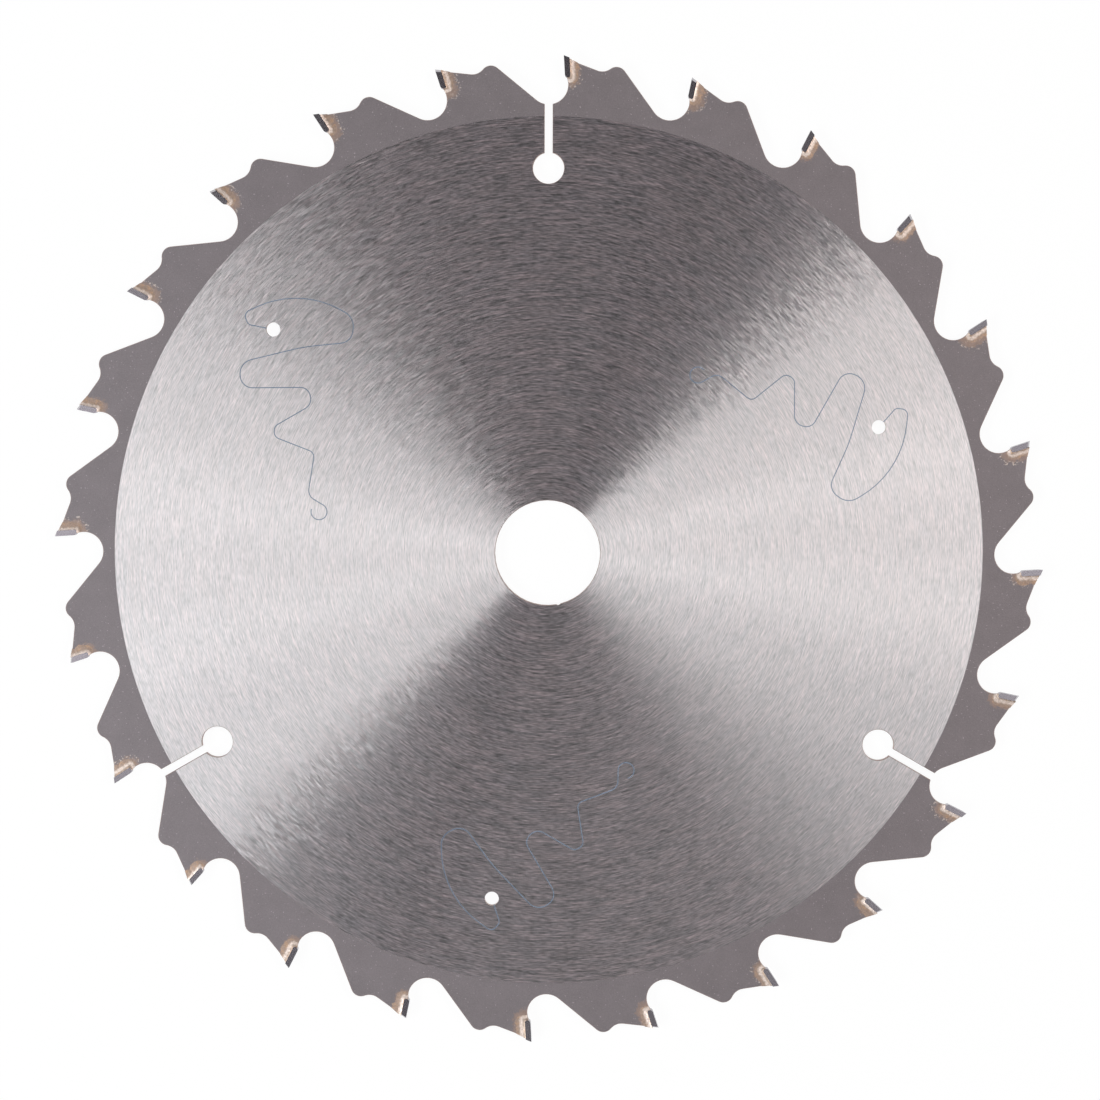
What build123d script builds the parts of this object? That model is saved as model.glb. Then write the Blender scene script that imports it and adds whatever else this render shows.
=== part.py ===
import os
from math import asin, atan2, cos, degrees, radians, sin, sqrt, tan

from build123d import *

# A carbide-tipped circular saw blade for ripping and framing timber, lying flat.
# The origin is on the bore's axis at mid thickness, and +Z looks out of the side that shows.
# Seen from +Z the blade cuts turning counter-clockwise.
# All sizes are in millimetres and degrees.

# Steel plate, ground on both sides, with a rim that blasting leaves slightly thinner
blade_diameter = 235.0
bore_diameter = 25.0
plate_thickness = 1.8
edge_break = 0.12
blasted_rim_width = 14.3
blast_depth = 0.01
bore_nick_radius = 0.6
bore_nick_depth = 0.25
bore_nick_angle = -78.0

# Teeth, their gullets and the round shoulders that limit the bite
tooth_count = 24
gullet_depth = 11.5
gullet_radius = 4.6
cutting_edge_offset = 3.55
hook_angle = 5.0
top_relief_angle = 19.0
plate_setback = 0.5
shoulder_drop = 1.6
shoulder_radius = 2.4
shoulder_offset = 13.65
hollow_radius = 3.3

# Carbide tips, bevelled to alternate sides and standing out beyond both sides of the plate
side_clearance = 0.5
tip_length = 5.2
tip_thickness = 1.3
tip_front_rounding = 0.7
tip_back_rounding = 0.45
bevel_angle = 15.0
radial_clearance_angle = 1.5
tangential_clearance_angle = 2.5

# Braze that holds each tip, with a bead along both sides of the plate
braze_gap = 0.15
bead_height = 0.28
bead_width = 1.7
bead_width_below = 1.15
bead_crest_share = 0.3

# Expansion slots, each running in from a gullet to a round hole
slot_count = 3
slot_width = 1.9
slot_end_radius = 91.05
slot_end_diameter = 7.4

# Fine damping cuts through the plate, each starting at a small hole and filled with resin
damping_cut_count = 3
start_hole_diameter = 3.4
start_hole_radius = 84.0
first_start_hole_angle = 21.0
damping_cut_width = 0.24
filler_recess = 0.03
hook_end_radius = 1.9
hook_end_angle = 259.0

# Corners of a damping cut and the radius that rounds each one, measured from the start hole's
# centre: outwards from the bore first, then counter-clockwise round the blade.
damping_cut_corners = [
    ((5.3, 2.8), 1.3),
    ((7.9, 1.4), 1.5),
    ((1.3, -11.8), 22.0),
    ((-13.2, -14.4), 3.8),
    ((-16.4, -9.5), 3.2),
    ((-8.1, -1.2), 38.0),
    ((1.4, 11.3), 3.4),
    ((-2.9, 15.5), 2.9),
    ((-15.1, 5.4), 2.4),
    ((-18.4, 7.9), 2.6),
    ((-14.7, 17.6), 1.6),
    ((-16.1, 19.7), 1.7),
    ((-26.0, 16.5), 1.6),
    ((-31.2, 25.5), 2.4),
]
damping_cut_hook_start = (-35.4, 24.9)

# How far cutting shapes reach past the metal that they cut
beyond_rim = 4.0
beyond_side = 1.0

# Sizes worked out from the ones above
cutting_radius = blade_diameter / 2
ground_land_radius = cutting_radius - blasted_rim_width
gullet_centre_radius = cutting_radius - gullet_depth + gullet_radius
pitch_angle = 360 / tooth_count
teeth_between_slots = round(tooth_count / slot_count)
half_plate = plate_thickness / 2
half_rim = half_plate - blast_depth
half_kerf = half_plate + side_clearance
half_through = half_kerf + beyond_side


def polar(radius, angle):
    """A point at this distance from the bore's axis, counter-clockwise from +X."""
    return Vector(radius * cos(radians(angle)), radius * sin(radians(angle)))


def turned(point, angle):
    return point.rotate(Axis.Z, angle)


def on_circle(centre, radius, angle):
    return centre + polar(radius, angle)


# The first tooth: its gullet's centre is on +Y, and its cutting edge is to the right of that.
gullet_angle = 90.0
gullet_centre = polar(gullet_centre_radius, gullet_angle)
edge_angle = degrees(asin(cutting_edge_offset / cutting_radius))
cutting_edge = polar(cutting_radius, gullet_angle - edge_angle)
face_tilt = hook_angle - edge_angle
down_face = Vector(sin(radians(face_tilt)), -cos(radians(face_tilt)))
behind_face = Vector(cos(radians(face_tilt)), sin(radians(face_tilt)))
relief_tilt = edge_angle + top_relief_angle
along_top = Vector(cos(radians(relief_tilt)), -sin(radians(relief_tilt)))
above_top = Vector(sin(radians(relief_tilt)), cos(radians(relief_tilt)))


def on_tip(depth, back):
    """A point this far down the cutting face from the edge, and this far behind the face."""
    return cutting_edge + down_face * depth + behind_face * back


def circle_crossing(start, direction, centre, radius):
    """Where a line first meets a circle."""
    to_start = start - centre
    along = to_start.dot(direction)
    return start + direction * (-along - sqrt(along**2 - to_start.dot(to_start) + radius**2))


def tooth_gap():
    """The space in front of a tooth: its gullet, and what lies over the next tooth's back."""
    face_top = on_tip(-beyond_rim, 0)
    face_foot = circle_crossing(cutting_edge, down_face, gullet_centre, gullet_radius)

    shoulder_centre_radius = cutting_radius - shoulder_drop - shoulder_radius
    shoulder_centre = Vector(-shoulder_offset, sqrt(shoulder_centre_radius**2 - shoulder_offset**2))
    to_shoulder = shoulder_centre - gullet_centre
    cross_angle = degrees(asin((shoulder_radius + gullet_radius) / to_shoulder.length))
    back_angle = degrees(atan2(to_shoulder.Y, to_shoulder.X)) - cross_angle
    back_foot = on_circle(gullet_centre, gullet_radius, back_angle + 90)
    back_top = on_circle(shoulder_centre, shoulder_radius, back_angle - 90)

    top_start = turned(on_tip(0, 0), pitch_angle) - turned(above_top, pitch_angle) * plate_setback
    top_direction = turned(along_top, pitch_angle)
    hollow_line = top_start + turned(above_top, pitch_angle) * hollow_radius
    hollow_centre = circle_crossing(
        hollow_line, top_direction, shoulder_centre, shoulder_radius + hollow_radius
    )
    hollow_end = shoulder_centre + (hollow_centre - shoulder_centre).normalized() * shoulder_radius
    hollow_start = hollow_centre - turned(above_top, pitch_angle) * hollow_radius
    next_face_top = turned(on_tip(-beyond_rim, 0), pitch_angle)

    foot_angle = degrees(atan2(face_foot.Y - gullet_centre.Y, face_foot.X - gullet_centre.X))
    gullet_middle = on_circle(gullet_centre, gullet_radius, (foot_angle + back_angle + 90 - 360) / 2)
    end_angle = degrees(atan2(hollow_end.Y - shoulder_centre.Y, hollow_end.X - shoulder_centre.X))
    shoulder_middle = on_circle(shoulder_centre, shoulder_radius, (back_angle - 90 + end_angle) / 2)
    hollow_middle = hollow_centre + (
        (hollow_start + hollow_end) / 2 - hollow_centre
    ).normalized() * hollow_radius

    with BuildSketch() as gap:
        with BuildLine():
            Line(face_top, face_foot)
            ThreePointArc(face_foot, gullet_middle, back_foot)
            Line(back_foot, back_top)
            ThreePointArc(back_top, shoulder_middle, hollow_end)
            ThreePointArc(hollow_end, hollow_middle, hollow_start)
            Line(hollow_start, top_start)
            Line(top_start, next_face_top)
            Line(next_face_top, face_top)
        make_face()
    return gap.sketch


def tip_shape(below, behind, front_rounding, back_rounding):
    """The tip's side outline, grown by a margin below it and behind it."""
    depth = tip_length + below
    back = tip_thickness + behind
    with BuildSketch() as shape:
        with BuildLine():
            FilletPolyline(
                on_tip(-beyond_rim, 0), on_tip(depth, 0), on_tip(depth, back), on_tip(-beyond_rim, back),
                radius=[0, front_rounding, back_rounding, 0],
                close=True,
            )
        make_face()
    return shape.sketch


def above_the_top():
    """Everything outside the plate's top line, which is ground flush across the braze."""
    start = cutting_edge - above_top * plate_setback - along_top * beyond_rim
    reach = along_top * (tip_thickness + bead_width + 2 * beyond_rim)
    with BuildSketch() as outside:
        with BuildLine():
            Polyline(start, start + reach, start + reach + above_top * beyond_rim * 2,
                     start + above_top * beyond_rim * 2, close=True)
        make_face()
    return outside.sketch


gap_shape = tooth_gap()
tip_outline = tip_shape(0, 0, tip_front_rounding, tip_back_rounding)
seat_outline = tip_shape(braze_gap, braze_gap, 0, tip_back_rounding + braze_gap)
top_waste = above_the_top()


def damping_cut_run():
    """The winding run of a damping cut, with its start hole's centre at the origin and +X outwards."""
    corners = [corner for corner, radius in damping_cut_corners]
    radii = [radius for corner, radius in damping_cut_corners]
    with BuildLine() as route:
        runs = FilletPolyline((0, 0), *corners, damping_cut_hook_start, radius=radii)
        JernArc(start=runs @ 1, tangent=runs % 1, radius=hook_end_radius, arc_size=-hook_end_angle)
    with BuildSketch() as cut:
        trace(route.line, damping_cut_width)
    return cut.sketch


damping_cut_shape = damping_cut_run()

with BuildPart() as blade_body:
    with BuildSketch():
        Circle(cutting_radius)
        with PolarLocations(0, tooth_count):
            add(gap_shape, mode=Mode.SUBTRACT)
        Circle(bore_diameter / 2, mode=Mode.SUBTRACT)
        with PolarLocations(
            slot_end_radius, slot_count, start_angle=gullet_angle,
            angular_range=slot_count * teeth_between_slots * pitch_angle,
        ):
            Circle(slot_end_diameter / 2, mode=Mode.SUBTRACT)
            Rectangle(
                gullet_centre_radius - slot_end_radius, slot_width,
                align=(Align.MIN, Align.CENTER), mode=Mode.SUBTRACT,
            )
    extrude(amount=half_plate, both=True)
    flat_sides = blade_body.faces().filter_by(Axis.Z)
    chamfer(flat_sides.edges(), edge_break)

    with BuildSketch():
        with PolarLocations(0, tooth_count):
            add(seat_outline)
        with PolarLocations(start_hole_radius, damping_cut_count, start_angle=first_start_hole_angle):
            add(damping_cut_shape)
            Circle(start_hole_diameter / 2)
        with Locations(polar(bore_diameter / 2 + bore_nick_depth - bore_nick_radius, bore_nick_angle)):
            Circle(bore_nick_radius)
    extrude(amount=half_through, both=True, mode=Mode.SUBTRACT)

    for side in (1, -1):
        with BuildSketch(Plane.XY.offset(side * half_rim)):
            Circle(cutting_radius)
            Circle(ground_land_radius, mode=Mode.SUBTRACT)
        extrude(amount=side * beyond_side, mode=Mode.SUBTRACT)
blade_body.part.label = "blade_body"


def side_plane(side):
    """The ground flank of a tip: it leans in towards the bore and towards the tip's back."""
    inwards = down_face - Vector(0, 0, side) * tan(radians(radial_clearance_angle))
    backwards = behind_face - Vector(0, 0, side) * tan(radians(tangential_clearance_angle))
    return Plane(
        origin=cutting_edge + Vector(0, 0, side * half_kerf), x_dir=inwards, z_dir=backwards.cross(inwards)
    )


def bevel_plane(high_side):
    """The ground top of a tip: it falls away behind the edge and across to the low side."""
    backwards = along_top
    across = Vector(0, 0, -high_side) - above_top * tan(radians(bevel_angle))
    return Plane(
        origin=cutting_edge + Vector(0, 0, high_side * half_kerf), x_dir=backwards,
        z_dir=backwards.cross(across),
    )


def kept_side(plane):
    """Which side of a grinding plane the middle of the tip lies on."""
    tip_middle = on_tip(tip_length / 2, tip_thickness / 2)
    return Keep.TOP if (tip_middle - plane.origin).dot(plane.z_dir) > 0 else Keep.BOTTOM


def carbide_tip(high_side):
    """A tip whose top has its high corner on this side of the blade, 1 for +Z and -1 for -Z."""
    with BuildPart() as tip:
        with BuildSketch():
            add(tip_outline)
        extrude(amount=half_through, both=True)
        for plane in (side_plane(1), side_plane(-1), bevel_plane(high_side)):
            split(bisect_by=plane, keep=kept_side(plane))
    return tip.part


def braze_joint():
    """The braze between a tip and its seat, with a low bead on each side of the plate."""
    crest = bead_crest_share
    with BuildPart() as joint:
        with BuildSketch():
            add(seat_outline)
        extrude(amount=half_rim, both=True)
        for side in (1, -1):
            with BuildSketch(Plane.XY.offset(side * half_rim)):
                add(tip_shape(bead_width_below, bead_width, 0, bead_width))
            with BuildSketch(Plane.XY.offset(side * (half_rim + bead_height))):
                add(tip_shape(bead_width_below * crest, bead_width * crest, 0, bead_width * crest))
            loft()
        with BuildSketch():
            add(tip_outline)
            add(gap_shape)
            add(top_waste)
        extrude(amount=half_through, both=True, mode=Mode.SUBTRACT)
    return joint.part


tips = {1: carbide_tip(1), -1: carbide_tip(-1)}
joint = braze_joint()

os.makedirs("parts", exist_ok=True)
export_step(blade_body.part, "parts/blade_body.step")

for number in range(1, tooth_count + 1):
    station = (number - 1) * pitch_angle
    high_side = 1 if number % 2 else -1

    with BuildPart() as tip:
        add(tips[high_side], rotation=(0, 0, station))
    tip.part.label = f"tip_{number:02d}"
    export_step(tip.part, f"parts/tip_{number:02d}.step")

    with BuildPart() as braze:
        add(joint, rotation=(0, 0, station))
    braze.part.label = f"braze_{number:02d}"
    export_step(braze.part, f"parts/braze_{number:02d}.step")

for number in range(1, damping_cut_count + 1):
    angle = first_start_hole_angle + (number - 1) * 360 / damping_cut_count
    at_start_hole = Plane(origin=polar(start_hole_radius, angle), x_dir=polar(1, angle), z_dir=(0, 0, 1))

    with BuildPart() as filler:
        with BuildSketch(at_start_hole):
            add(damping_cut_shape)
            Circle(start_hole_diameter / 2, mode=Mode.SUBTRACT)
        extrude(amount=half_plate - filler_recess, both=True)
    filler.part.label = f"cut_filler_{number}"
    export_step(filler.part, f"parts/cut_filler_{number}.step")
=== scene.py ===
import math
import random

import bmesh
import bpy
from mathutils import Matrix, Vector
from mathutils.noise import noise


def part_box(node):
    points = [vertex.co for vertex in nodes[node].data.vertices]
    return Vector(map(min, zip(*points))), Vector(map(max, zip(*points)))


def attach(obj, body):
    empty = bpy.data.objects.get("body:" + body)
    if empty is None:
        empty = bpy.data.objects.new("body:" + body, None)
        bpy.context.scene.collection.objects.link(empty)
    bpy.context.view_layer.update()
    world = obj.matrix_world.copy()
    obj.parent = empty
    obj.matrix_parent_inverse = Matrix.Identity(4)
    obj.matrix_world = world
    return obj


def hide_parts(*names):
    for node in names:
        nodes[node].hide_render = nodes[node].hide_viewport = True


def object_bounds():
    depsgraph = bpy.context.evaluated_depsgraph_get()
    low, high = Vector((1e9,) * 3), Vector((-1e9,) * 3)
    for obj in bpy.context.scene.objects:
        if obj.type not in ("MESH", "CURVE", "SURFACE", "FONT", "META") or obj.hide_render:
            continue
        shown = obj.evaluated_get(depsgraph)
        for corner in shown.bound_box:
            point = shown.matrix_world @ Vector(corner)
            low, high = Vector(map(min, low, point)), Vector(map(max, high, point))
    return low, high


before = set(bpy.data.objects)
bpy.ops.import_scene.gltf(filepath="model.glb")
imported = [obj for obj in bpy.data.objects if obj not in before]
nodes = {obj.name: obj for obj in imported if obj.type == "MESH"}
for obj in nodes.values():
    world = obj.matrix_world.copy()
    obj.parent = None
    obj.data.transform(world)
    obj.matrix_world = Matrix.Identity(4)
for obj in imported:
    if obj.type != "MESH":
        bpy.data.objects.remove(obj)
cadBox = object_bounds()
print("frame loaded with", len(nodes), "nodes")

# The blade, as far as its looks depend on it. Lengths are in millimetres and angles in degrees.
mm = 0.001
blade = {
    "toothCount": 24,
    "landRadius": 103.2,
    "hookAngle": 5.0,
    "topRelief": 19.0,
    "tipLength": 5.2,
    "tipThickness": 1.3,
    "plateSetback": 0.5,
    "gulletDepth": 11.5,
    "gulletRadius": 4.6,
    "blastDepth": 0.01,
}
tipCorners = [corner.co / mm for corner in nodes["tip_01"].data.vertices]
cuttingCorner = max(tipCorners, key=lambda corner: corner.to_2d().length)
cuttingRadius = cuttingCorner.to_2d().length
edgeAngle = math.degrees(math.atan2(cuttingCorner.y, cuttingCorner.x))  # where the first cutting edge stands
pitch = 360 / blade["toothCount"]
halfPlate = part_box("blade_body")[1].z / mm
halfRim = halfPlate - blade["blastDepth"]
restingHeight = cadBox[0].z


# Shader maths: a Value is one output of a node, and operators on it add Math nodes.
def operator(operation, reflected=False):
    def apply(self, other):
        first, second = (other, self) if reflected else (self, other)
        return self.graph.maths(operation, first, second)
    return apply


class Value:
    def __init__(self, graph, socket):
        self.graph, self.socket = graph, socket

    __add__ = __radd__ = operator("ADD")
    __mul__ = __rmul__ = operator("MULTIPLY")
    __sub__, __rsub__ = operator("SUBTRACT"), operator("SUBTRACT", reflected=True)
    __truediv__, __rtruediv__ = operator("DIVIDE"), operator("DIVIDE", reflected=True)
    __pow__, __rpow__ = operator("POWER"), operator("POWER", reflected=True)
    __gt__, __lt__ = operator("GREATER_THAN"), operator("LESS_THAN")  # each is the other's reflected form

    def beside(self, name):  # another output of the same node
        return Value(self.graph, self.socket.node.outputs[name])


class Graph:
    def __init__(self, owner):
        owner.use_nodes = True
        self.tree = owner.node_tree
        self.tree.nodes.clear()

    def add(self, kind, settings=None, sockets=None, output=0):
        node = self.tree.nodes.new("ShaderNode" + kind)
        for name, setting in (settings or {}).items():
            setattr(node, name, setting)
        for name, value in (sockets or {}).items():
            if isinstance(value, Value):
                self.tree.links.new(value.socket, node.inputs[name])
            else:
                node.inputs[name].default_value = value
        return Value(self, node.outputs[output]) if node.outputs else node

    def maths(self, operation, *numbers):
        return self.add("Math", {"operation": operation}, dict(enumerate(numbers)))

    def clamp(self, value):
        return self.add("Clamp", {}, {"Value": value})

    def aroundHalf(self, value):  # a value round 0, as a share from 0 to 1
        return self.clamp(value + 0.5)

    def vector(self, operation, first, second=(0, 0, 0)):
        return self.add("VectorMath", {"operation": operation}, {0: first, 1: second})

    def scaled(self, vector, factor):
        return self.add("VectorMath", {"operation": "SCALE"}, {0: vector, "Scale": factor})

    def combine(self, x, y, z):
        return self.add("CombineXYZ", {}, {0: x, 1: y, 2: z})

    def step(self, value, low, high):  # a smooth rise from 0 at low to 1 at high
        sockets = {"Value": value, "From Min": low, "From Max": high}
        return self.add("MapRange", {"interpolation_type": "SMOOTHSTEP"}, sockets)

    def mix(self, factor, first, second, way="MIX"):  # a Mix node has its colours at 6 and 7 and output 2
        first, second = (c if isinstance(c, Value) else (*c, 1.0) for c in (first, second))
        settings = {"data_type": "RGBA", "blend_type": way}
        return self.add("Mix", settings, {0: factor, 6: first, 7: second}, 2)

    def grey(self, value):
        return self.add("CombineColor", {}, {0: value, 1: value, 2: value})

    def tinted(self, colour, value):  # a colour made lighter or darker by a value round 1
        return self.mix(1.0, colour, self.grey(value), "MULTIPLY")

    def noise(self, vector, detail=2.0, scale=1.0):
        return self.add("TexNoise", {"noise_dimensions": "3D"},
                        {"Vector": vector, "Scale": scale, "Detail": detail})

    def chance(self, number):  # the same random value from 0 to 1 wherever the number is the same
        return self.add("TexWhiteNoise", {"noise_dimensions": "1D"}, {"W": number})

    def bump(self, height, strength, distance):  # the distance is in millimetres
        return self.add("Bump", {}, {"Strength": strength, "Distance": distance * mm, "Height": height})

    def metal(self, colour, roughness, normal=None, more=None):
        sockets = {"Base Color": colour, "Roughness": roughness, "Metallic": 1.0, **(more or {})}
        if normal:
            sockets["Normal"] = normal
        return self.add("BsdfPrincipled", {}, sockets)

    def blend(self, factor, first, second):  # finishes
        return self.add("MixShader", {}, {0: factor, 1: first, 2: second})

    def finish(self, surface, kind="Material"):
        self.add("Output" + kind, {}, {"Surface": surface})


def newMaterial(name):
    material = bpy.data.materials.new(name)
    return material, Graph(material)


noiseSpread = 5.0  # brings a noise's usual range, 0.3 to 0.7, to -1 to 1
faceSpread = 7.0  # gives the plate's two faces streaks of their own


class Place:  # where a point lies on the blade, and on the tooth that it belongs to
    def __init__(self, graph):
        self.graph = graph
        self.point = graph.scaled(graph.add("TexCoord", output="Object"), 1 / mm)
        self.x = graph.add("SeparateXYZ", {}, {0: self.point})
        self.y, self.z = self.x.beside("Y"), self.x.beside("Z")
        self.radius = (self.x * self.x + self.y * self.y) ** 0.5
        turn = (edgeAngle - graph.maths("ARCTAN2", self.y, self.x) * math.degrees(1)) / pitch
        self.tooth = graph.maths("FLOOR", turn)
        behindEdge = (turn - self.tooth) * math.radians(pitch)
        hook = math.radians(blade["hookAngle"])
        outwards = self.radius * graph.maths("COSINE", behindEdge) - cuttingRadius
        around = self.radius * graph.maths("SINE", behindEdge)
        self.depth = around * math.sin(hook) - outwards * math.cos(hook)  # down the cutting face
        self.back = around * math.cos(hook) + outwards * math.sin(hook)  # behind the cutting face
        behind = graph.maths("MAXIMUM", self.back - blade["tipThickness"], 0.0)
        below = graph.maths("MAXIMUM", self.depth - blade["tipLength"], 0.0)
        self.fromTip = (behind * behind + below * below) ** 0.5

    def streaks(self, length, width, detail=2.0, shift=0.0):  # marks that run round the bore, about -1 to 1
        along = self.graph.scaled(self.point, 1 / length)
        across = self.graph.combine(0.0, 0.0, self.radius / width + (self.z * faceSpread + shift))
        return (self.graph.noise(self.graph.vector("ADD", along, across), detail) - 0.5) * noiseSpread

    def speckle(self, size, detail=2.0, shift=0.0):  # spots, about -1 to 1
        moved = self.graph.vector("ADD", self.point, (shift, shift, shift))
        return (self.graph.noise(moved, detail, scale=1 / size) - 0.5) * noiseSpread

    def chanceByTooth(self, shift=0.0):  # from 0 to 1, and the same all over a tooth
        return self.graph.chance(self.tooth + shift)


# Steel plate: a land ground with a circular grain, and a blasted rim with stains behind each tip. Streaks
# have a length and a width and spots have a size, in millimetres. A shift picks another part of a noise,
# and a range gives where something starts to show and where it shows in full.
plateLooks = {
    "landWarm": (0.671, 0.643, 0.641),
    "landCool": (0.659, 0.644, 0.647),
    "landRoughness": 0.31,
    "landAnisotropy": 1.0,
    "fineGrain": {"length": 1.4, "width": 0.19, "detail": 0.0},
    "longGrain": {"length": 4.5, "width": 0.21, "detail": 0.0, "shift": 31.0},
    "broadGrain": {"length": 12.0, "width": 3.0, "shift": 57.0},
    "crossGrain": {"length": 2.4, "width": 0.19, "detail": 0.0, "shift": 200.0},
    "fineShare": 0.65,
    "longShare": 0.6,
    "crossShare": 0.6,
    "longWarmth": 0.5,
    "broadWarmth": 0.2,
    "grainTone": 0.16,
    "grainTilt": 0.022,
    "grainRotation": 0.25,  # in whole turns: a grain that runs round the bore
    "grainTurn": 0.0085,  # how far to either side of that the land's two grains are
    "dullShare": 0.13,
    "dullGrain": 0.096,
    "dullWarm": (0.700, 0.560, 0.590),
    "dullCool": (0.645, 0.565, 0.625),
    "dullRoughness": 0.6,
    "landFade": 0.05,
    "rimColour": (0.280, 0.249, 0.258),
    "rimRoughness": 0.6,
    "blast": {"size": 0.24},
    "blastTone": 0.07,
    "blastBump": 0.35,
    "blastHeight": 0.02,
    "clouds": {"size": 5.0, "shift": 13.0},
    "cloudTone": 0.03,
    "specks": {"size": 0.42, "detail": 0.0, "shift": 41.0},
    "speckRange": (1.35, 1.6),
    "speckTone": 0.6,
    "stainColour": (0.43, 0.317, 0.265),
    "stainReach": 2.8,
    "stainFade": 1.3,
    "stainShare": 0.85,
    "stainEdge": {"size": 0.9, "detail": 3.0, "shift": 77.0},
    "stainEdgeReach": 0.35,
    "reachByTooth": 0.9,
    "patches": {"size": 0.6, "shift": 17.0},
    "patchReach": 0.4,
    "patchTone": 0.12,
    "patchRust": 0.3,
    "rustColour": (0.545, 0.362, 0.26),
    "rustRange": (1.7, 2.6),
    "paleColour": (0.68, 0.54, 0.46),
    "blots": {"size": 0.75, "detail": 3.0, "shift": 88.0},
    "blotRange": (0.25, 0.9),
    "blotShare": 0.6,
    "dropColour": (0.80, 0.70, 0.63),
    "drops": {"size": 0.5, "detail": 1.0, "shift": 61.0},
    "dropRange": (0.25, 0.9),
    "dropShare": 0.7,
    "dropsFrom": (2.0, 2.4),
    "dropsTo": (2.8, 3.2),
    "teethWithoutDrops": 0.45,
    "edgeColour": (0.40, 0.31, 0.28),
    "edgeRoughness": 0.5,
    "edgeSpots": {"size": 0.3, "shift": 9.0},
    "edgeTone": 0.1,
    "flatRange": (0.75, 0.95),
}


def makeLand(g, place, facing):
    looks = plateLooks
    fine, long = place.streaks(**looks["fineGrain"]), place.streaks(**looks["longGrain"])
    broad, cross = place.streaks(**looks["broadGrain"]), place.streaks(**looks["crossGrain"])
    grain = fine * looks["fineShare"] + long * looks["longShare"]
    warmth = g.aroundHalf(long * looks["longWarmth"] + broad * looks["broadWarmth"])
    tone = 1 + grain * looks["grainTone"]
    alongGrain = g.combine(0 - place.y / place.radius, place.x / place.radius, 0.0)
    lean = g.scaled(alongGrain, cross * looks["grainTilt"])
    leaning = g.vector("NORMALIZE", g.vector("ADD", facing, lean))
    colour = g.tinted(g.mix(warmth, looks["landCool"], looks["landWarm"]), tone)
    # Two grains, one leaning in and one out by 3 degrees, and each streak has more of one of them
    inward, outward = [
        g.metal(colour, looks["landRoughness"], leaning, {
            "Anisotropic": looks["landAnisotropy"],
            "Anisotropic Rotation": looks["grainRotation"] + turn,
        })
        for turn in (-looks["grainTurn"], looks["grainTurn"])
    ]
    bright = g.blend(g.aroundHalf(cross * looks["crossShare"]), inward, outward)
    dullColour = g.tinted(g.mix(warmth, looks["dullCool"], looks["dullWarm"]), tone)
    dull = g.metal(dullColour, looks["dullRoughness"])
    return g.blend(g.clamp(looks["dullShare"] + grain * looks["dullGrain"]), bright, dull)


def makeRim(g, place):
    looks = plateLooks
    blasted = place.speckle(**looks["blast"])
    clouds = place.speckle(**looks["clouds"])
    specks = g.step(place.speckle(**looks["specks"]), *looks["speckRange"])
    tone = 1 + blasted * looks["blastTone"] + clouds * looks["cloudTone"] + specks * looks["speckTone"]
    colour = g.tinted(looks["rimColour"], tone)
    ragged = place.fromTip + place.speckle(**looks["stainEdge"]) * looks["stainEdgeReach"]
    ragged += (place.chanceByTooth() - 0.5) * looks["reachByTooth"]
    patchy = place.speckle(**looks["patches"])
    stainEnd = looks["stainReach"]
    stain = 1 - g.step(ragged + patchy * looks["patchReach"], stainEnd - looks["stainFade"], stainEnd)
    rusty = g.step(ragged + patchy * looks["patchRust"], *looks["rustRange"])
    stained = g.mix(rusty, looks["stainColour"], looks["rustColour"])
    blots = g.step(place.speckle(**looks["blots"]), *looks["blotRange"])
    stained = g.mix(blots * looks["blotShare"], stained, looks["paleColour"])
    stained = g.tinted(stained, 1 + patchy * looks["patchTone"])
    colour = g.mix(stain * looks["stainShare"], colour, stained)
    fringe = g.step(ragged, *looks["dropsFrom"]) * (1 - g.step(ragged, *looks["dropsTo"]))
    fringe *= place.chanceByTooth(shift=9.0) > looks["teethWithoutDrops"]
    drops = fringe * g.step(place.speckle(**looks["drops"]), *looks["dropRange"])
    colour = g.mix(drops * looks["dropShare"], colour, looks["dropColour"])
    grit = g.bump(blasted, looks["blastBump"], looks["blastHeight"])
    return g.metal(colour, looks["rimRoughness"], grit)


def makeBladeSteel():
    material, g = newMaterial("bladeSteel")
    looks, place = plateLooks, Place(g)
    facing = g.add("NewGeometry", output="Normal")
    upright = g.maths("ABSOLUTE", g.add("SeparateXYZ", {}, {0: facing}).beside("Z"))
    edgeTone = 1 + place.speckle(**looks["edgeSpots"]) * looks["edgeTone"]
    edge = g.metal(g.tinted(looks["edgeColour"], edgeTone), looks["edgeRoughness"])
    landEnd, fade = blade["landRadius"], looks["landFade"]
    onRim = g.step(place.radius, landEnd - fade, landEnd + fade)
    flat = g.blend(onRim, makeLand(g, place, facing), makeRim(g, place))
    g.finish(g.blend(g.step(upright, *looks["flatRange"]), edge, flat))
    return material


# Carbide: dark, finely ground, with the wheel's marks across each tip
carbideLooks = {
    "colour": (0.35, 0.325, 0.357),
    "roughness": 0.27,
    "markSize": (1.4, 0.09, 0.12),  # down the cutting face, behind it, and through the blade
    "markTone": 0.2,
    "markBump": 0.07,
    "markHeight": 0.01,
    "chips": {"size": 0.16, "detail": 1.0, "shift": 5.0},
    "chipRange": (1.1, 1.5),
    "chipTone": 0.3,
    "toneByTooth": 0.16,
}


def makeCarbide():
    material, g = newMaterial("carbide")
    looks, place = carbideLooks, Place(g)
    down, behind, through = looks["markSize"]
    marks = g.noise(g.combine(place.depth / down, place.back / behind, place.z / through))
    chips = g.step(place.speckle(**looks["chips"]), *looks["chipRange"])
    tone = 1 + (marks - 0.5) * looks["markTone"] + chips * looks["chipTone"]
    tone += (place.chanceByTooth(shift=7.0) - 0.5) * looks["toneByTooth"]
    grooves = g.bump(marks, looks["markBump"], looks["markHeight"])
    g.finish(g.metal(g.tinted(looks["colour"], tone), looks["roughness"], grooves))
    return material


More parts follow.
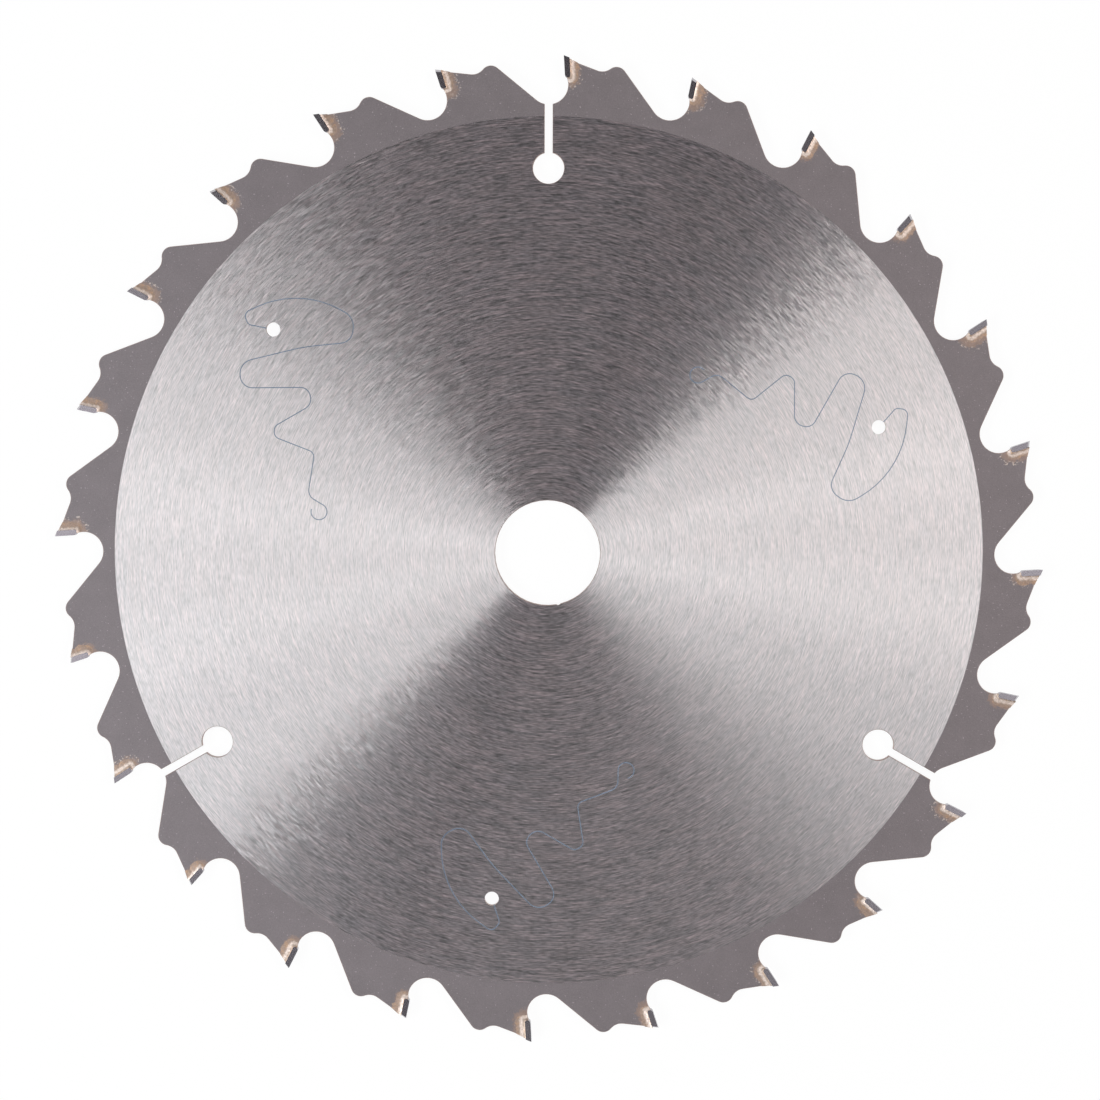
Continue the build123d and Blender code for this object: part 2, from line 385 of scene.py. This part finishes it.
# Silver braze: tan and brown where the heat has stained it. A pale band a little behind each tip is partly
# the clean braze's own colour and partly a painted highlight, the bright line that the fillet's curve would
# catch from the lamps.
brazeLooks = {
    "creamAndHighlight": (0.92, 0.79, 0.715),
    "tan": (0.49, 0.385, 0.315),
    "brown": (0.465, 0.347, 0.285),
    "rust": (0.58, 0.39, 0.27),
    "roughness": 0.55,
    "usualChance": 0.7,
    "shiftByTooth": 0.8,
    "ragged": {"size": 0.7, "shift": 3.0},
    "raggedReach": 0.16,
    # where the pale band starts and ends behind the tip; it is a painted highlight laid on the braze's own
    # paler colour
    "paintedHighlightFrom": (0.10, 0.55),
    "paintedHighlightTo": (0.80, 1.35),
    "paintedHighlightShare": 0.85,
    "paintedHighlightPatches": {"size": 0.5, "shift": 71.0},
    "paintedHighlightPatchShare": 0.25,
    "brownRange": (0.8, 1.6),
    "rustPatches": {"size": 0.8, "shift": 33.0},
    "rustRange": (-0.2, 0.9),
    "rustShare": 0.7,
    "spots": {"size": 0.3, "shift": 19.0},
    "spotTone": 0.14,
    "pits": {"size": 0.35, "shift": 23.0},
    "pitBump": 0.3,
    "pitHeight": 0.02,
}


def makeBraze():
    material, g = newMaterial("braze")
    looks, place = brazeLooks, Place(g)
    # each tooth's bands, the painted highlight among them, sit a little nearer to or farther from its tip
    shift = (place.chanceByTooth(shift=3.0) - looks["usualChance"]) * looks["shiftByTooth"]
    band = place.fromTip - shift + place.speckle(**looks["ragged"]) * looks["raggedReach"]
    # painted highlight: a pale band where the bead's curve would catch the lamps, partly the clean braze's
    # own colour
    paintedHighlightBand = g.step(band, *looks["paintedHighlightFrom"]) * (1 - g.step(band, *looks["paintedHighlightTo"]))
    colour = g.mix(g.step(band, *looks["brownRange"]), looks["tan"], looks["brown"])
    rusty = g.step(place.speckle(**looks["rustPatches"]), *looks["rustRange"])
    colour = g.mix(rusty * looks["rustShare"], colour, looks["rust"])
    paintedHighlightStrength = looks["paintedHighlightShare"] + place.speckle(**looks["paintedHighlightPatches"]) * looks["paintedHighlightPatchShare"]
    colour = g.mix(paintedHighlightBand * paintedHighlightStrength, colour, looks["creamAndHighlight"])
    colour = g.tinted(colour, 1 + place.speckle(**looks["spots"]) * looks["spotTone"])
    pitted = g.bump(place.speckle(**looks["pits"]), looks["pitBump"], looks["pitHeight"])
    g.finish(g.metal(colour, looks["roughness"], pitted))
    return material


# Resin in the damping cuts
resinLooks = {"colour": (0.18, 0.235, 0.31), "roughness": 0.55, "spots": {"size": 0.6}, "spotTone": 0.08}


def makeResin():
    material, g = newMaterial("cutResin")
    tone = 1 + Place(g).speckle(**resinLooks["spots"]) * resinLooks["spotTone"]
    sockets = {"Base Color": g.tinted(resinLooks["colour"], tone), "Roughness": resinLooks["roughness"]}
    g.finish(g.add("BsdfPrincipled", {}, sockets))
    return material


bladeSteel, carbide, braze, cutResin = makeBladeSteel(), makeCarbide(), makeBraze(), makeResin()
for name, node in nodes.items():
    kind = {"blade": bladeSteel, "tip": carbide, "braze": braze, "cut": cutResin}[name.split("_")[0]]
    node.data.materials.clear()
    node.data.materials.append(kind)
print("materials made")


# Braze beads: each fillet runs under its tip and up behind it, and no two are alike. They are made on
# a tooth's own axes: how far behind the cutting face, how far down it, and the height over mid plate.
# Of an uneven pattern, share is its strength, scale how close its waves are, and start and apart its layers.
bead = {
    "widthBelow": 1.25,
    "widthBehind": 2.1,
    "widthByTooth": (0.86, 1.12),
    "height": 0.30,
    "heightByTooth": (0.82, 1.0),
    "edgeHeight": 0.012,
    "steepShare": 0.40,
    "steepReach": 0.30,
    "thinPower": 1.2,
    "wander": {"share": 0.30, "scale": 0.8, "start": 0, "apart": 9},
    "ripple": {"share": 0.14, "scale": 2.4, "start": 50, "apart": 9},
    "lumps": {"share": 0.16, "scale": 1.8, "start": 0, "apart": 20},
    "patterns": 99,
    "tipFrontRounding": 0.7,
    "tipBackRounding": 0.45,
    "gap": 0.15,
    "pastTop": 1.0,
    "coverDrop": 0.2,
    "coverReach": 2.6,
    "clear": 0.02,
    "gulletEnd": 40,
    "cutterHeight": 3.0,
    "spacing": 0.12,
    "crossPoints": 14,
    "smoothAngle": 40,
    "seed": 11,
}
farOut = 12.0  # past everything on a tooth, for the outlines that cut a bead


def toothAxes(number):
    hook = math.radians(blade["hookAngle"])
    turn = Matrix.Rotation(math.radians(edgeAngle + (number - 1) * pitch), 4, "Z")
    axes = Matrix((
        (math.sin(hook), -math.cos(hook), 0, cuttingRadius),
        (-math.cos(hook), -math.sin(hook), 0, 0),
        (0, 0, 1, 0),
        (0, 0, 0, 1),
    ))
    return Matrix.Scale(mm, 4) @ turn @ axes


def arcPoints(centre, radius, start, end, spacing, fewest=4):
    count = max(fewest, round(radius * math.radians(abs(end - start)) / spacing))
    angles = [math.radians(start + (end - start) * i / count) for i in range(count + 1)]
    return [(Vector((centre[0] + radius * math.cos(a), centre[1] + radius * math.sin(a))), a) for a in angles]


def linePoints(start, end, spacing):
    count = round(math.dist(start, end) / spacing)
    return [Vector(start).lerp(Vector(end), i / count) for i in range(1, count)]


def tipOutline():  # down the front rounding, along the foot and up the back, each point with its way out
    front, corner, spacing = bead["tipFrontRounding"], bead["tipBackRounding"], bead["spacing"]
    length, thickness = blade["tipLength"], blade["tipThickness"]
    footEnd = (thickness - corner, length)
    backStart, backEnd = (thickness, length - corner), (thickness, -bead["pastTop"])
    route = arcPoints((front, length - front), front, 180, 90, spacing)
    route += [(p, math.pi / 2) for p in linePoints((front, length), footEnd, spacing)]
    route += arcPoints((thickness - corner, length - corner), corner, 90, 0, spacing)
    route += [(p, 0.0) for p in linePoints(backStart, backEnd, spacing)]
    return [(point, Vector((math.cos(angle), math.sin(angle)))) for point, angle in route]


def depthUnderTop(back, drop):  # of a line this far under the tip's ground top
    fall = math.radians(blade["topRelief"] + blade["hookAngle"])
    return (drop + back * math.sin(fall)) / math.cos(fall)


def openSide():  # what lies in front of the cutting face, in the gullet or over the tooth's back
    thickness, setback = blade["tipThickness"], blade["plateSetback"]
    radius = blade["gulletRadius"] + bead["clear"]
    fromBore = (cuttingRadius - blade["gulletDepth"] + blade["gulletRadius"]) * mm
    centre = toothAxes(1).inverted() @ Vector((0, fromBore, 0))
    meeting = math.degrees(math.acos((bead["clear"] - centre.x) / radius))
    floor = arcPoints(centre, radius, -meeting, bead["gulletEnd"], bead["spacing"])
    cover = depthUnderTop(thickness, bead["coverDrop"])
    coverEnd = thickness + bead["coverReach"]
    return [
        (-farOut, -farOut), (farOut, -farOut), (farOut, depthUnderTop(farOut, setback)),
        (coverEnd, depthUnderTop(coverEnd, setback)), (thickness, cover), (bead["clear"], cover),
        *(point for point, angle in floor), (-farOut, farOut),
    ]


def plateSide():  # the plate round the tip's seat
    outer = bead["gap"] + bead["tipBackRounding"]
    foot, wall = blade["tipLength"] + bead["gap"], blade["tipThickness"] + bead["gap"]
    corner = arcPoints((wall - outer, foot - outer), outer, 90, 0, bead["spacing"])
    seatTop = depthUnderTop(wall, blade["plateSetback"])
    return [
        (-farOut, foot), *(point for point, angle in corner), (wall, seatTop),
        (farOut, depthUnderTop(farOut, blade["plateSetback"])), (farOut, farOut), (-farOut, farOut),
    ]


def newObject(name, mesh):
    bmesh.ops.recalc_face_normals(mesh, faces=mesh.faces)
    data = bpy.data.meshes.new(name)
    mesh.to_mesh(data)
    mesh.free()
    piece = bpy.data.objects.new(name, data)
    bpy.context.scene.collection.objects.link(piece)
    return piece


def makeCutter(name, outline, halfHeight):
    mesh = bmesh.new()
    rings = [[mesh.verts.new((*point[:2], height)) for point in outline]
             for height in (-halfHeight, halfHeight)]
    for i in range(len(outline)):
        mesh.faces.new((rings[0][i - 1], rings[0][i], rings[1][i], rings[1][i - 1]))
    mesh.faces.new(rings[0])
    mesh.faces.new(rings[1])
    return newObject(name, mesh)


def filletHeight(fromWall, share):  # steep against the tip, then thin out to the edge
    steep = bead["steepShare"] * math.exp(-fromWall / bead["steepReach"])
    return steep + (1 - bead["steepShare"]) * (1 - share) ** bead["thinPower"]


def wobble(kind, spot, pattern, face):  # each bead and each of its faces has a pattern of its own
    looks = bead[kind]
    layer = pattern + looks["start"] + looks["apart"] * face
    return looks["share"] * noise(Vector((spot.x * looks["scale"], spot.y * looks["scale"], layer)))


def beadBlock(number):
    draw = random.Random(bead["seed"] + number)
    widen = draw.uniform(*bead["widthByTooth"])
    rise = draw.uniform(*bead["heightByTooth"]) * bead["height"]
    pattern = draw.uniform(0, bead["patterns"])
    mesh = bmesh.new()
    loops = []
    for wall, side in tipOutline():
        facingBack = max(0.0, side.x)
        width = bead["widthBelow"] + (bead["widthBehind"] - bead["widthBelow"]) * facingBack
        loop = []
        for face in (1, -1):
            uneven = 1 + wobble("wander", wall, pattern, face) + wobble("ripple", wall, pattern, face)
            reach = width * widen * uneven
            row = []
            for i in range(bead["crossPoints"]):
                share = i / (bead["crossPoints"] - 1)
                spot = wall + side * (share * reach)
                lump = 1 + wobble("lumps", spot, pattern, face)
                height = bead["edgeHeight"] + rise * lump * filletHeight(share * reach, share)
                row.append((spot.x, spot.y, face * (halfRim + height)))
            loop += row if face == 1 else row[::-1]
        loops.append([mesh.verts.new(corner) for corner in loop])
    for first, second in zip(loops, loops[1:]):
        for i in range(len(first)):
            mesh.faces.new((first[i - 1], first[i], second[i], second[i - 1]))
    mesh.faces.new(loops[0])
    mesh.faces.new(loops[-1])
    return newObject(f"bead_{number:02d}", mesh)


def addBead(number, cutters):
    piece = beadBlock(number)
    for cutter in cutters:
        cut = piece.modifiers.new(cutter.name, "BOOLEAN")
        cut.operation, cut.solver, cut.object = "DIFFERENCE", "EXACT", cutter
    carved = bpy.data.meshes.new_from_object(piece.evaluated_get(bpy.context.evaluated_depsgraph_get()))
    piece.modifiers.clear()
    mesh = bmesh.new()
    mesh.from_mesh(carved)
    mesh.transform(toothAxes(number))
    bmesh.ops.recalc_face_normals(mesh, faces=mesh.faces)
    sharpest = math.radians(bead["smoothAngle"])
    for edge in mesh.edges:
        edge.smooth = len(edge.link_faces) == 2 and edge.calc_face_angle(0) < sharpest
    for face in mesh.faces:
        face.smooth = True
    mesh.to_mesh(piece.data)
    mesh.free()
    piece.data.materials.append(braze)
    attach(piece, "root")
    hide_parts(f"braze_{number:02d}")


cutters = [
    makeCutter("open_side", openSide(), bead["cutterHeight"]),
    makeCutter("plate_side", plateSide(), halfRim),
]
for number in range(1, blade["toothCount"] + 1):
    addBead(number, cutters)
for cutter in cutters:
    bpy.data.objects.remove(cutter)
print("braze beads made")


# Camera: nearly straight above, where the photograph was taken from
camera = {
    "at": (0.0146, 0.0405, 0.727),
    "lens": 100.1,
    "sensor": 36.0,
    "shift": (0.0022, 0.00245),
    "roll": 0.15,
}


# Studio: a white floor and a low white wall round it, under a dark ceiling. A bank of soft lamps stands
# at each side, and a few more hang nearly overhead.
studio = {
    "floorSize": 7.0,
    "wallRadius": 3.2,
    "wallHeight": 1.0,
    "wallSides": 96,
    "paper": (0.8, 0.8, 0.8),  # the floor's white as the object is lit by it
    "whiteShare": 0.96,
    "ceiling": (0.027, 0.023, 0.025),
    "rightColour": (1.0, 0.95, 0.92),
    "leftColour": (0.926, 0.972, 1.0),
    "overheadColour": (1.0, 1.0, 1.0),
}
lamps = {  # brightness by direction from the bore, in degrees, where the land's grain shows a lamp to us
    "bank": {
        "lean": 0.757,
        "distance": 1.63,
        "size": (0.40, 0.55),
        "brightness": {
            15: 7.7, 35: 6.4, 135: 1.3, 155: 3.2, 175: 6.2, 195: 10.2,
            215: 10.3, 235: 2.4, 255: 0.9, 335: 0.9, 355: 5.2,
        },
    },
    "overhead": {
        "lean": 0.262,
        "distance": 1.24,
        "size": (0.28, 0.28),
        "brightness": {158: 2.6, 280: 0.7, 337: 1.9},
    },
}


def makeBackdropWhite():
    material, g = newMaterial("backdropWhite")
    ray = g.add("LightPath", output="Is Camera Ray")
    seen = g.clamp(ray + ray.beside("Is Glossy Ray") + ray.beside("Is Transmission Ray"))
    paper = g.add("BsdfDiffuse", {}, {"Color": (*studio["paper"], 1.0)})
    bright = g.add("BsdfDiffuse", {}, {"Color": (1, 1, 1, 1)})
    white = g.add("Emission", {}, {"Color": (1, 1, 1, 1), "Strength": 1.0})
    g.finish(g.blend(seen, paper, g.blend(studio["whiteShare"], bright, white)))
    return material


def addStage(name, build):
    mesh = bmesh.new()
    build(mesh)
    data = bpy.data.meshes.new(name)
    mesh.to_mesh(data)
    mesh.free()
    data.materials.append(backdropWhite)
    piece = bpy.data.objects.new(name, data)
    bpy.context.scene.collection.objects.link(piece)
    piece.location.z = restingHeight


def buildFloor(mesh):
    bmesh.ops.create_grid(mesh, x_segments=1, y_segments=1, size=studio["floorSize"] / 2)


def buildWall(mesh):
    radius, height = studio["wallRadius"], studio["wallHeight"]
    made = bmesh.ops.create_cone(mesh, cap_ends=False, segments=studio["wallSides"],
                                 radius1=radius, radius2=radius, depth=height)
    bmesh.ops.translate(mesh, verts=made["verts"], vec=(0, 0, height / 2))


def addLamp(name, place, size, brightness, colour):
    data = bpy.data.lights.new(name, "AREA")
    data.shape, (data.size, data.size_y) = "RECTANGLE", size
    data.energy = brightness * math.pi * data.size * data.size_y
    data.color = colour
    lamp = bpy.data.objects.new(name, data)
    lamp.location = place
    lamp.rotation_euler = (-lamp.location).to_track_quat("-Z", "Y").to_euler()
    lamp.visible_camera = False
    bpy.context.scene.collection.objects.link(lamp)


def lampPlace(direction, lean, distance):  # lean is the level part of the half-way direction to the camera
    eye = Vector(camera["at"]).normalized()
    x, y = lean * math.cos(direction) - eye.x, lean * math.sin(direction) - eye.y
    return distance * Vector((x, y, (1 - x * x - y * y) ** 0.5))


def addLamps(kind):
    looks = lamps[kind]
    for direction, brightness in looks["brightness"].items():
        angle = math.radians(direction)
        place = lampPlace(angle, looks["lean"], looks["distance"])
        side = "rightColour" if math.cos(angle) > 0 else "leftColour"
        colour = studio[side if kind == "bank" else "overheadColour"]
        addLamp(f"{kind}_{direction}", place, looks["size"], brightness, colour)


def lightCeiling():
    world = bpy.data.worlds.new("studio")
    bpy.context.scene.world = world
    g = Graph(world)
    g.finish(g.add("Background", {}, {"Color": (*studio["ceiling"], 1.0), "Strength": 1.0}), "World")


backdropWhite = makeBackdropWhite()
addStage("floor", buildFloor)
addStage("wall", buildWall)
addLamps("bank")
addLamps("overhead")
lightCeiling()
print("studio lit")


def addCamera():
    data = bpy.data.cameras.new("camera")
    data.lens, data.sensor_width = camera["lens"], camera["sensor"]
    data.shift_x, data.shift_y = camera["shift"]
    eye = bpy.data.objects.new("camera", data)
    bpy.context.scene.collection.objects.link(eye)
    back = Vector(camera["at"]).normalized()
    roll = math.radians(camera["roll"])
    up = Vector((-math.sin(roll), math.cos(roll), 0))
    right = up.cross(back).normalized()
    up = back.cross(right)
    eye.matrix_world = Matrix.Translation(camera["at"]) @ Matrix((right, up, back)).transposed().to_4x4()
    bpy.context.scene.camera = eye


addCamera()
bpy.context.scene.view_settings.view_transform = "Standard"
print("camera placed")
